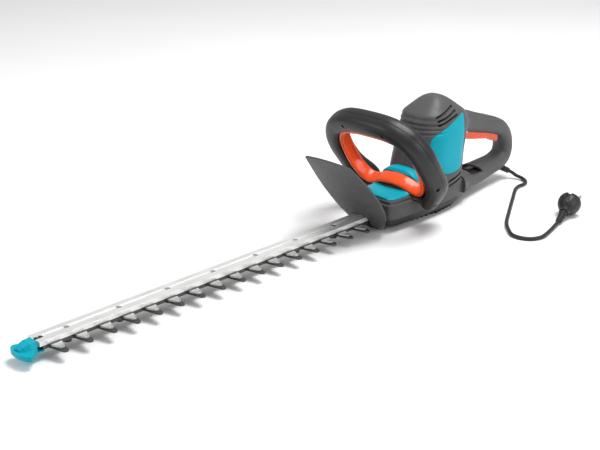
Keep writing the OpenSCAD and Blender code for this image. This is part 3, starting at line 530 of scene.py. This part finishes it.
# Tapered relief at the housing, with its rings and its bore.
relief_place = (Matrix.Translation(Vector(RELIEF_START))
                @ Vector(RELIEF_RUN).to_track_quat("Z", "Y").to_matrix().to_4x4())
relief_length = float(np.linalg.norm(RELIEF_END - RELIEF_START))
relief = turned("cord_relief", ribbed(relief_length, 5.1, 3.75, 13, 3.8, 0.95, 2.0),
                relief_place, 48)
bore_r = CORD_D / 2 + 0.1
cut(relief, turned("bore", [(bore_r, -1), (bore_r, relief_length + 1)], relief_place, 48))
shade(relief, 30)
piece(relief, "cord_rubber", replaces=["strain_relief"])


# ---- housing -------------------------------------------------------------------------------

# Nose in plan: x, half width.
PLAN = [(-232, 22), (-226, 29), (-214, 35), (-198, 39.5), (-175, 42.5), (-150, 43.5), (-120, 43.5),
        (-90, 42.5), (-62, 41), (-52, 39.5), (-45, 36), (-42, 31)]
# Motor tower and its cap: height, front x, rear x, half width.
TOWER = [(38, -108, -224, 43.5), (55, -111, -224, 44), (75, -116, -225, 43.8), (95, -121, -228, 43),
         (115, -126, -234, 42), (130, -130, -238, 40.5), (142, -134.5, -231, 38.6),
         (147.5, -136, -226, 37.8), (150.5, -138.5, -222, 36), (154, -143.5, -217, 32.5),
         (158.5, -150, -211, 28), (163, -157, -204.5, 23.5), (167.5, -164, -197.5, 18),
         (170.8, -170, -190.5, 12), (172.4, -175, -184, 6)]
TOWER_TABLE = smooth(TOWER, 8)
# Rear handle, from the tower's back round to its foot: x, z, half thickness, half width.
LOOP = [(-214, 118, 19, 24), (-250, 117, 17.5, 19), (-285, 107.5, 15.6, 17.5),
        (-320, 97.5, 14.4, 17), (-345, 87.5, 13.6, 16.5), (-359, 74, 12.8, 16),
        (-365.5, 57, 12.5, 15.5), (-362, 40, 12.5, 16), (-346, 30.5, 12.5, 17.5),
        (-320, 27, 12.8, 19.5), (-285, 24, 13.8, 23), (-250, 24.5, 15.5, 28.5), (-214, 27, 17, 34)]
SEAM_Z, NOSE_Z = 19.0, 41.0            # nose from its seam with the base to its top
CAP_Z, CROWN_Z = 118.0, 146.0          # where the cap and its crown start
CREASES = (136.5, 130.0, 124.0)        # heights of the creases round the cap
PLUMP = 2.9                            # power of the tower's superellipse
FLARE_RUN = 22.0


def tower_row(z):
    return [float(np.interp(z, TOWER_TABLE[:, 0], TOWER_TABLE[:, i])) for i in (1, 2, 3)]


def clamp(t):
    return min(1.0, max(0.0, t))


def creased(x, y, z, front, rear, side):
    """Point of the cap pushed into its creases, which fade towards the cooling slots."""
    ahead = (x - rear) / (front - rear)
    fade = clamp((ahead - 0.58) / 0.22) * clamp((side * 1.04 - abs(y)) / 5 + 0.35)
    sunk = sum(math.exp(-((z - c) / 1.15) ** 2) for c in CREASES)
    lip = 0.9 * math.exp(-((z - CREASES[0] - 3.4) / 2.4) ** 2)
    inward = unit([(front + rear) / 2 - x, -y * 1.2]) * (1.7 * sunk - lip) * fade
    return x + inward[0], y + inward[1]


def tower_solid(name, g=0.0, m=96, detail=False):
    low, high = TOWER[0][0], TOWER[-1][0]
    levels = [np.arange(low, CAP_Z, 4.0)]
    if detail:
        levels += [np.arange(CAP_Z, CROWN_Z, 0.7), np.arange(CROWN_Z, high - 0.2, 1.0)]
    else:
        levels += [np.arange(CAP_Z, high - 0.2, 3.0)]
    rings = []
    for z in np.concatenate(levels + [[high]]):
        front, rear, side = tower_row(z)
        if side + g <= 1:
            continue
        ring = []
        for u, v in oval((front - rear) / 2 + g, side + g, PLUMP, m, 0.7 if detail else 0.0):
            x, y = (front + rear) / 2 + u, v
            if detail:
                x, y = creased(x, y, z, front, rear, side)
            ring.append((x, y, z + (g if z > 100 else -g)))
        rings.append(ring)
    return loft(name, rings)


def loop_solid(name, g=0.0, m=56, steps=6, detail=False):
    path = smooth(LOOP, steps)
    rings = []
    for i, p in enumerate(path):
        a, b = path[max(0, i - 1)], path[min(len(path) - 1, i + 1)]
        d = unit([b[0] - a[0], b[1] - a[1]])
        half_t, half_w = p[2] + g, p[3] + g
        if detail:
            # Hollow flare where the handle's upper and lower run meet the tower.
            start = -250 if p[1] > 80 else -243
            flare = min(1.6, max(0.0, (p[0] - start) / FLARE_RUN))
            half_t += 3.0 * flare ** 2
            half_w += 4.5 * flare ** 2
        rings.append([(p[0] + d[1] * u, v, p[1] - d[0] * u)
                      for u, v in oval(half_t, half_w, 2.7, m, 0.6 if detail else 0.0)])
    return loft(name, rings)


def plan_ring(g):
    """The nose in plan, moved outwards by g."""
    line = smooth(PLAN, 4)
    both = np.array([(x, y) for x, y in line] + [(x, -y) for x, y in line[::-1]])
    centre = np.array([-140.0, 0.0])
    out = []
    for i, q in enumerate(both):
        a, b = both[i - 1], both[(i + 1) % len(both)]
        d = unit(b - a)
        normal = np.array([-d[1], d[0]])
        if np.dot(normal, q - centre) < 0:
            normal = -normal
        w = q + normal * g
        out.append((w[0], w[1]))
    return out


def plan_solid(name, low, high, g=0.0, x_low=None, edge=0.0):
    """The nose in plan between two heights, from x_low on, with a rounded upper edge."""
    levels = [(low, 0.0)]
    if edge:
        levels += [(high - edge * (1 - math.sin(t)), edge * (1 - math.cos(t)))
                   for t in np.linspace(0, math.pi / 2, 6)]
    else:
        levels.append((high, 0.0))
    solid = loft(name, [[(x, y, z) for x, y in plan_ring(g - inset)] for z, inset in levels])
    if x_low is not None:
        meet(solid, block("front", (x_low, -70, low - 1), (0, 70, high + 1)))
    return solid


def housing_outer(name, g=0.0, detail=False):
    body = tower_solid(name, g, 128 if detail else 48, detail)
    nose = plan_solid("nose", SEAM_Z, NOSE_Z + g, g, edge=3.0 if detail else 0.0)
    nose_top = plan_solid("nose_top", NOSE_Z - 6, NOSE_Z + 4 + g, g - 4, -114,
                          0.6 if detail else 0.0)
    loop = loop_solid("loop", g, 56 if detail else 28, 6 if detail else 3, detail)
    return join(body, nose, nose_top, loop)


def rounded(corners, radius, g=0.0, steps=6):
    """Outline with its corners rounded, then grown by g."""
    corners = np.asarray(corners, float)
    centre = corners.mean(axis=0)
    out = []
    for i, c in enumerate(corners):
        a, b = corners[i - 1], corners[(i + 1) % len(corners)]
        r = min(radius, 0.4 * np.linalg.norm(a - c), 0.4 * np.linalg.norm(b - c))
        p, q = c + unit(a - c) * r, c + unit(b - c) * r
        for t in np.linspace(0, 1, steps):
            out.append((1 - t) ** 2 * p + 2 * t * (1 - t) * c + t * t * q)
    if g:
        out = [w + unit(w - centre) * g for w in out]
    return [tuple(w) for w in out]


PANEL = [(-206, 148), (-206, 72), (-199, 64), (-188, 61), (-163, 61), (-152, 69), (-136, 91),
         (-133, 103), (-137, 117), (-146, 124)]
OUTSIDE = 60          # further out to the side than anything on the housing


def panel_prism(name, g, side):
    """Side panel's outline grown by g, through the wall of one side."""
    low, high = sorted((26 * side, OUTSIDE * side))
    return prism(name, rounded(PANEL, 5.0, g), "y", low, high)


def slanted_slot(name, x, z, length, height, turn):
    """Slot with round ends through the whole tower."""
    c, s = math.cos(math.radians(turn)), math.sin(math.radians(turn))
    outline = []
    for end in (1, -1):
        for t in np.linspace(-math.pi / 2, math.pi / 2, 8):
            u = end * (length / 2 - height / 2 + height / 2 * math.cos(t))
            w = end * height / 2 * math.sin(t)
            outline.append((x + u * c + w * s, z - u * s + w * c))
    return prism(name, outline, "y", -OUTSIDE, OUTSIDE)


# Grip inlay's ends: x, half width, where the arc starts.
INLAY_ENDS = ((-262, 12.5, -math.pi / 2), (-346, 11.5, math.pi / 2))


def inlay_prism(name, g):
    outline = [(x + (10 + g) * math.cos(t), (half_w + g) * math.sin(t))
               for x, half_w, start in INLAY_ENDS
               for t in np.linspace(start, start + math.pi, 12)]
    return prism(name, outline, "z", 108, 150)


outer = housing_outer("outer", 0.0, True)
shell = twin(outer, "shell")

# Room inside: tower, handle, nose, below the seam, under the saddle, over the guide rail.
cut(shell, tower_solid("inner", -WALL, 40), loop_solid("inner", -WALL, 24, 3),
    plan_solid("inner", SEAM_Z - 1, NOSE_Z - WALL, -WALL - 1.5),
    block("inner", (-232.6, -OUTSIDE, SEAM_Z - 30), (-32.6, OUTSIDE, SEAM_Z)),
    plan_solid("inner", NOSE_Z - WALL - 2, NOSE_Z + 10, -WALL - 5.5, -104),
    block("inner", (-70, -16, SEAM_Z - 2), (-30, 16, 24.4)))

# Pockets for the panels and the inlay.
panels = {}
for side, word in ((1, "left"), (-1, "right")):
    panel = meet(twin(outer, word + "_panel"), panel_prism("p", -0.15, side))
    floor_cut = tower_solid("f", -1.8, 64)
    cut(panel, floor_cut, keep=True)
    pocket = cut(panel_prism("pocket", 0.35, side), floor_cut, keep=True)
    bpy.data.objects.remove(floor_cut)
    cut(shell, pocket)
    panels[word] = panel
inlay = meet(twin(outer, "grip_inlay_pad"), inlay_prism("i", -1.0))
inlay_floor = loop_solid("f", -1.3, 40, 4)
cut(inlay, inlay_floor, keep=True)
cut(shell, cut(inlay_prism("pocket", 1.0), inlay_floor))

# Upper and lower cooling slots.
for i in range(3):
    cut(shell, slanted_slot("vent", -170 + i, 141 + i * 5.8, 42, 3.4, 15))
for i in range(2):
    cut(shell, slanted_slot("vent", -186 - 2 * i, 51.4 - i * 7.2, 38, 3.8, 10))

# Opening for the trigger, recess of the cable hook, the cord relief's way out.
TRIGGER_ROOM = [(-234, 84), (-234, 114), (-262, 116), (-343, 98), (-345, 60), (-300, 60),
                (-250, 70)]
RELIEF_HOLE_R = 5.9
cut(shell, prism("room", TRIGGER_ROOM, "y", -8.5, 8.5),
    block("hook", (-286, -16, 31), (-252, 24, 51)))
cut(shell, turned("way", [(RELIEF_HOLE_R, -1), (RELIEF_HOLE_R, 39)], relief_place, 40))

# The housing screws go in from the right, in recesses as deep as their posts: x, z, y of
# the recess floor.
SCREWS = [(-214, 92, 26.0), (-214, 60, 27.0), (-351, 77, 11.5), (-312, 27, 15.5),
          (-244, 22, 24.0)]
RECESS_R, HEAD_R, HEAD_H, HEX_R = 3.4, 3.1, 2.2, 1.4
for x, z, deep in SCREWS:
    cut(shell, round_bar("recess", (x, -deep, z), (x, -OUTSIDE, z), RECESS_R))

HALF_GAP = 0.03
left = keep_side(twin(shell, "left_shell"), (0, HALF_GAP, 0), (0, 1, 0))
right = keep_side(shell, (0, -HALF_GAP, 0), (0, -1, 0))
right.name = "right_shell"
for obj, word in ((left, "left"), (right, "right")):
    shade(obj, 32)
    piece(obj, "housing_plastic", replaces=[word + "_housing"])
    shade(panels[word], 32)
    piece(panels[word], "accent_plastic", replaces=[word + "_side_panel"])
shade(inlay, 32)
piece(inlay, "soft_grip", replaces=["grip_inlay"])

# Screw heads in the recesses.
for n, (x, z, deep) in enumerate(SCREWS):
    head = round_bar("screw", (x, -deep, z), (x, -deep - HEAD_H, z), HEAD_R)
    cut(head, prism("hex", [(x + HEX_R * math.cos(t), z + HEX_R * math.sin(t))
                            for t in np.linspace(0, 2 * math.pi, 6, endpoint=False)],
                    "y", -deep - 4, -deep - 1.0))
    bevel(head, 0.3)
    head.name = f"housing_screw_head_{n}"
    piece(head, "dark_steel")


# ---- front handle --------------------------------------------------------------------------

LEAN = math.radians(31)
BAIL_FOOT = (-112.0, 31.0)
BAIL_HALF, BAIL_TOP, RING_TRAVEL = 82.0, 147.0, 4.0
BAIL_WALL = 2.6
SCREW_HOLE_R = 2.9


def bail_at(y, s, d):
    """Tool point from the bail's own: y, s up its lean, d square to it towards the front."""
    return (BAIL_FOOT[0] + s * math.sin(LEAN) + d * math.cos(LEAN), y,
            BAIL_FOOT[1] + s * math.cos(LEAN) - d * math.sin(LEAN))


# Left half from the foot up: y, s, half thickness, half width, how far it stands back.
BAIL_LEFT = [(55.5, 2, 8.5, 16, 3), (59, 8, 11.5, 21, 4.5), (66, 18, 12.3, 21.5, 5.5),
             (74.5, 31, 12.5, 19, 5.5), (79.5, 46, 12.8, 17, 4.5),
             (BAIL_HALF - 0.5, 64, 13.2, 16.5, 2.5), (BAIL_HALF, 84, 14, 16.5, 0.5),
             (79, 106, 14, 17, 0), (68, 128, 14, 17, 0), (46, 142, 14, 17, 0),
             (22, BAIL_TOP, 14, 17, 0)]
BAIL = BAIL_LEFT + [(-p[0], *p[1:]) for p in reversed(BAIL_LEFT)]
# Bridge over the nose and middle line of the switch ring: y, s.
BRIDGE = [(60, 6), (51, 18), (36, 20), (20, 27), (0, 30), (-20, 27), (-36, 20), (-51, 18), (-60, 6)]
RING_LEFT = [(0, 37), (19, 34.5), (34, 27.5), (47, 25.5), (59, 35.5), (66.5, 58), (68, 83),
             (65, 106), (54, 122), (30, 130)]
RING = RING_LEFT + [(0, 131.5)] + [(-p[0], p[1]) for p in reversed(RING_LEFT[1:])]


def bail_sweep(name, path, sections, closed=False):
    """Sections run outwards in the bail's plane first, then to its front."""
    rings, k = [], len(path)
    for i, p in enumerate(path):
        if closed:
            a, b = path[i - 1], path[(i + 1) % k]
        else:
            a, b = path[max(0, i - 1)], path[min(k - 1, i + 1)]
        d = unit([b[0] - a[0], b[1] - a[1]])
        back = p[4] if len(p) > 4 else 0.0
        rings.append([bail_at(p[0] + d[1] * u, p[1] - d[0] * u, -v - back)
                      for u, v in sections(p)])
    return loft(name, rings, closed)


def bail_tube(name, g=0.0, steps=6, m=48, groove=0.0):
    return bail_sweep(name, smooth(BAIL, steps),
                      lambda p: oval(p[2] + g, p[3] + g, 2.6, m, groove))


def bail_bridge(name, g=0.0, steps=6, m=36):
    return bail_sweep(name, smooth(BRIDGE, steps), lambda p: oval(4 + g, 15.5 + g, 3, m))


def ring_line(steps):
    line = smooth([RING[-2], RING[-1]] + RING + [RING[0], RING[1]], steps)
    return line[2 * steps:-2 * steps]


def rect(a, b, r):
    """Rectangle of half sizes a and b with its corners rounded by r."""
    out = []
    for cx, cy, start in ((a - r, b - r, 0), (r - a, b - r, 90), (r - a, r - b, 180),
                          (a - r, r - b, 270)):
        for t in np.linspace(0, 90, 5):
            out.append((cx + r * math.cos(math.radians(start + t)),
                        cy + r * math.sin(math.radians(start + t))))
    return out


def ring_room(name):
    """Room that the ring needs over its travel, in one sweep."""
    line, path = ring_line(4), []
    for i, p in enumerate(line):
        a, b = line[i - 1], line[(i + 1) % len(line)]
        across = abs(unit([b[0] - a[0], b[1] - a[1]])[0])
        path.append((p[0], p[1] + RING_TRAVEL / 2, 3.4 + RING_TRAVEL / 2 * across))
    return bail_sweep(name, path, lambda p: rect(p[2], 11.4, 1.0), True)


# The seam between the shells, as (s, d), follows the legs where they stand back.
SEAM = [(-60, -3.7), (5.3, -3.7), (21.7, -6.2), (36.1, -6.2), (49.3, -4.5), (68.7, -2.5),
        (88.7, -0.2), (108.3, 0.47), (200, 0.47)]
SEAM_GAP = 0.02


def bail_half(name, gap):
    """Everything in front of the seam moved forwards by gap."""
    corners = [(s, d + gap) for s, d in SEAM] + [(200, 80), (-60, 80)]
    return loft(name, [[bail_at(y, s, d) for s, d in corners] for y in (-150, 150)])


bail = bail_tube("bail", 0.0, 6, 56, 0.7)
cut(bail, bail_tube("hollow", -BAIL_WALL, 3, 24))
join(bail, cut(bail_bridge("bridge"), bail_tube("hollow", 0.6 - BAIL_WALL, 3, 24)))
cut(bail, ring_room("room"))
cut(bail, housing_outer("clear", GAP), block("ground", (-300, -150, -50), (100, 150, 2)))

# Screw holes: in the legs from either side, as x, z and the y of the head, and in the top.
LEG_SCREWS = [(-81.5, 69, 87.5), (-99, 36.5, 67.5)]
for side in (1, -1):
    for x, z, head in LEG_SCREWS:
        cut(bail, round_bar("hole", (x, side * (head - 2), z), (x, side * 95, z), SCREW_HOLE_R))
for y in (-36, 36):
    for face in (-1, 1):
        cut(bail, round_bar("hole", bail_at(y, BAIL_TOP, face * 14.0),
                            bail_at(y, BAIL_TOP, face * 30), SCREW_HOLE_R))
bail_rear = cut(twin(bail, "bail_rear"), bail_half("half", -SEAM_GAP))
bail_front = meet(bail, bail_half("half", SEAM_GAP))
bail_front.name = "bail_front"
for obj, node in ((bail_front, "bail_front_shell"), (bail_rear, "bail_rear_shell")):
    shade(obj, 32)
    piece(obj, "dark_plastic", replaces=[node])

RING_HALF_T, RING_HALF_W = 2.6, 10.5
# Across the inner face: place, share of the hollow's depth.
HOLLOW_SIDE = [(9.0, 0.0), (7.0, 0.12), (6.2, 0.75), (5.4, 1.0), (2.7, 1.0)]
HOLLOW = HOLLOW_SIDE + [(0.0, 1.0)] + [(-v, deep) for v, deep in reversed(HOLLOW_SIDE)]


def ring_section(p):
    """Rounded band: a pressed hollow along its inner face, and a crowned arch over the nose."""
    s = p[1]
    hollow = 2.4 * clamp((s - 44) / 10) * clamp((122 - s) / 8)
    crown = 1.2 * clamp((46 - s) / 8)
    inner = [(hollow * deep - RING_HALF_T - crown * (1 - (v / RING_HALF_W) ** 2), v)
             for v, deep in HOLLOW]
    outer_side = [q for q in rect(RING_HALF_T, RING_HALF_W, 1.6) if q[0] > 0]
    return (outer_side[:5] + [(-1.4, RING_HALF_W), (-2.2, RING_HALF_W - 0.4)] + inner
            + [(-2.2, 0.4 - RING_HALF_W), (-1.4, -RING_HALF_W)] + outer_side[5:])


ring = bail_sweep("switch_ring_band", ring_line(10), ring_section, True)
shade(ring, 60)
piece(ring, "switch_plastic", "switch_ring", ["front_switch_ring"])


# ---- saddle over the nose ------------------------------------------------------------------

SADDLE_Z, BRIDGE_X = 45.2, -96.0       # its underside, and where the bridge parts it in two
SADDLE_WALL = 2.4
# From the tower to the tip of the nose: x, height over the underside, half width.
SADDLE = [(-122, 31, 36), (-106, 29.5, 35.6), (-101, 22.5, 35.4), (-86, 7, 35), (-76, 5.8, 34.6),
          (-68, 5.4, 34), (-61, 5, 33), (-55, 4.2, 31), (-50, 3, 27)]


def saddle_solid(name, g=0.0, steps=5, m=48):
    rings = []
    for x, high, half_w in smooth(SADDLE, steps):
        ring = []
        for i in range(m + 1):
            t = math.pi * i / m
            c, s = math.cos(t), math.sin(t)
            ring.append((x + (g if x > -51 else 0),
                         (half_w + g) * math.copysign(abs(c) ** 0.72, c),
                         SADDLE_Z + (high + g) * max(s, 0) ** 0.78))
        if g < 0:
            # A hollow runs out below the underside.
            foot = SADDLE_Z - 5
            ring = [(ring[0][0], ring[0][1], foot)] + ring + [(ring[-1][0], ring[-1][1], foot)]
        rings.append(ring)
    return loft(name, rings)


saddle = saddle_solid("saddle")
cut(saddle, saddle_solid("hollow", -SADDLE_WALL, 3, 24), tower_solid("t", GAP, 64),
    bail_bridge("b", GAP, 4, 28), ring_room("room"))
band = meet(twin(saddle, "neck_band_shell"),
            block("half", (BRIDGE_X - 40, -OUTSIDE, NOSE_Z), (BRIDGE_X, OUTSIDE, 105)))
lid = meet(saddle, block("half", (BRIDGE_X, -OUTSIDE, NOSE_Z), (-36, OUTSIDE, 85)))
lid.name = "nose_lid"
for obj, node in ((lid, "nose_cover"), (band, "neck_band")):
    shade(obj, 32)
    piece(obj, "accent_plastic", replaces=[node])
bpy.data.objects.remove(outer)


# ---- CAD nodes that stay, with their own materials -----------------------------------------

SLOT_OF = {s["node"]: s["material_slot"] for s in frame["record"]["subparts"]}
LOOKS = {"lower_blade": "blade_dark", "hand_guard": "guard_plastic", "blade_nuts": "dark_steel",
         "carbon_brushes": "moulding_black", "suppressor": "nylon"}
for name, obj in frame["nodes"].items():
    paint(obj, LOOKS.get(name, SLOT_OF[name]))
